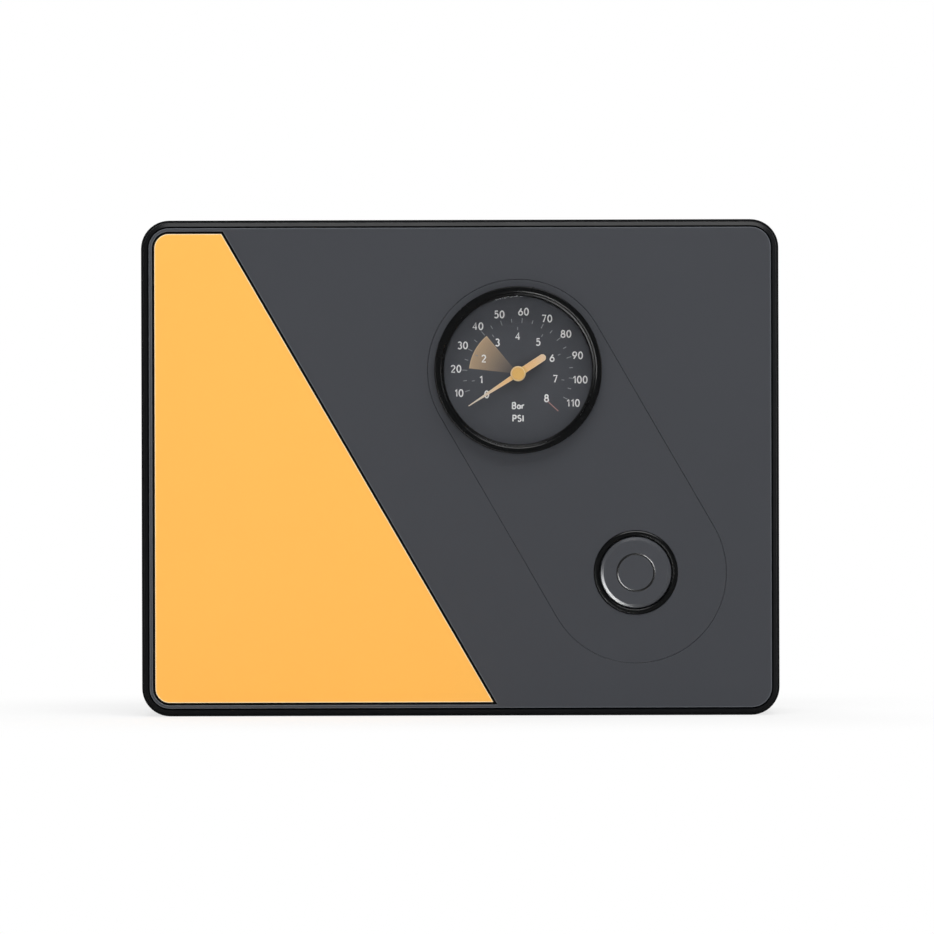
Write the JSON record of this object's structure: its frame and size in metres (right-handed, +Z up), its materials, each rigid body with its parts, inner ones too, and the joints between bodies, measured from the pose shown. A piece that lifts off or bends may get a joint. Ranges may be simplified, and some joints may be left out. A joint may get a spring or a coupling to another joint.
{
  "type": "portable tire inflator",
  "caption": "Flat box-shaped 12 V tire inflator with a dial gauge, round power button, slanted orange panel, and a geared piston compressor inside.",
  "frame": {"origin": "middle of the bottom edge of the case, where it rests", "axes": "+Z up, +X to the right seen from the front, the gauge faces -Y"},
  "size_m": [0.18, 0.0652, 0.14],
  "materials": {
    "grey_abs": "satin moulded ABS",
    "black_abs": "fine textured ABS",
    "orange_abs": "satin moulded ABS",
    "black_band": "soft-touch rubber",
    "gloss_black": "polished ABS",
    "cap_grey": "satin with polished rim",
    "lens": "clear acrylic window",
    "dial_grey": "printed matt sheet",
    "needle_gold": "satin enamel",
    "inner_black": "moulded nylon",
    "rubber": "moulded rubber",
    "hose_rubber": "extruded rubber",
    "brass": "machined brass",
    "bronze": "sintered bronze",
    "copper": "enamelled copper on steel",
    "steel": "ground steel",
    "zinc": "zinc plated steel",
    "ferrite": "sintered ferrite and carbon",
    "white_nylon": "natural nylon",
    "die_cast": "die-cast aluminium",
    "board_green": "solder-masked laminate",
    "wire_red": "PVC insulation"
  },
  "bodies": {
    "case": {"front_shell": "grey_abs", "rear_shell": "black_abs", "bumper_frame": "black_band", "accent_panel": "orange_abs", "control_plate": "grey_abs", "case_screws": "zinc", "gauge_bezel": "gloss_black", "gauge_lens": "lens", "gauge_seal": "rubber", "gauge_case": "inner_black", "dial_plate": "dial_grey", "movement_frame": "brass", "hairspring": "steel", "bourdon_tube": "brass", "gauge_socket": "brass", "button_bezel": "gloss_black", "button_spring": "steel", "switch_body": "inner_black", "switch_terminals": "brass", "switch_screws": "zinc", "motor_can": "zinc", "motor_end_cap": "inner_black", "motor_magnets": "ferrite", "motor_bushes": "bronze", "motor_brushes": "ferrite", "motor_screws": "zinc", "crankcase": "die_cast", "crank_bearings": "bronze", "cylinder_barrel": "die_cast", "head_gasket": "rubber", "valve_plate": "steel", "outlet_reed": "steel", "cylinder_head": "die_cast", "head_bolts": "zinc", "gauge_hose": "hose_rubber", "outlet_hose": "hose_rubber", "hose_clips": "zinc", "rubber_mounts": "rubber", "air_outlet": "brass", "cord_gland": "rubber", "circuit_board": "board_green", "wiring": "wire_red"},
    "button": {"power_button": "cap_grey", "switch_plunger": "white_nylon"},
    "sector": {"sector_gear": "brass"},
    "pointer": {"gauge_pointer": "needle_gold", "pointer_arbor": "brass"},
    "link": {"gauge_link": "brass"},
    "rotor": {"motor_shaft": "steel", "armature": "copper", "commutator": "copper", "motor_fan": "white_nylon", "motor_pinion": "white_nylon"},
    "crank": {"crank_shaft": "steel", "crank_gear": "white_nylon", "crank_web": "steel"},
    "bush": {"eccentric_bush": "bronze"},
    "piston": {"piston_rod": "die_cast", "piston_cup": "rubber", "cup_retainer": "steel"}
  },
  "joints": [
    {"name": "button_press", "type": "slide", "parent": "case", "child": "button", "axis": [0, 1, 0], "range_m": [0, 0.0015], "stiffness_N_per_m": 800, "springref_m": -0.001, "deforming": ["button_spring"]},
    {"name": "sector_swing", "type": "hinge", "parent": "case", "child": "sector", "pos_m": [0.0164, 0, 0.08525], "axis": [0, -1, 0], "range_deg": [0, 31.57], "stiffness_Nm_per_rad": 0.0003, "springref_deg": -11.46},
    {"name": "pointer_turn", "type": "hinge", "parent": "case", "child": "pointer", "pos_m": [0.0164, 0, 0.0965], "axis": [0, 1, 0], "range_deg": [0, 252.6]},
    {"name": "link_pivot", "type": "hinge", "parent": "sector", "child": "link", "pos_m": [0.01518, 0, 0.08092], "axis": [0, -1, 0], "range_deg": [-31.57, 0]},
    {"name": "rotor_spin", "type": "hinge", "parent": "case", "child": "rotor", "pos_m": [-0.03125, 0.00205, 0.024], "axis": [1, 0, 0], "continuous": true},
    {"name": "crank_spin", "type": "hinge", "parent": "case", "child": "crank", "pos_m": [-0.03125, 0.00205, 0.049], "axis": [1, 0, 0], "continuous": true},
    {"name": "bush_spin", "type": "hinge", "parent": "crank", "child": "bush", "pos_m": [-0.02045, 0.00205, 0.046], "axis": [1, 0, 0], "continuous": true},
    {"name": "piston_stroke", "type": "hinge", "parent": "bush", "child": "piston", "pos_m": [-0.02045, 0.00205, 0.043], "axis": [1, 0, 0], "continuous": true}
  ],
  "couplings": [
    {"joint": "pointer_turn", "follows": "sector_swing", "ratio": 8},
    {"joint": "link_pivot", "follows": "sector_swing", "ratio": -1},
    {"joint": "crank_spin", "follows": "rotor_spin", "ratio": -0.25},
    {"joint": "bush_spin", "follows": "rotor_spin", "ratio": 0.5},
    {"joint": "piston_stroke", "follows": "rotor_spin", "ratio": -0.25}
  ]
}
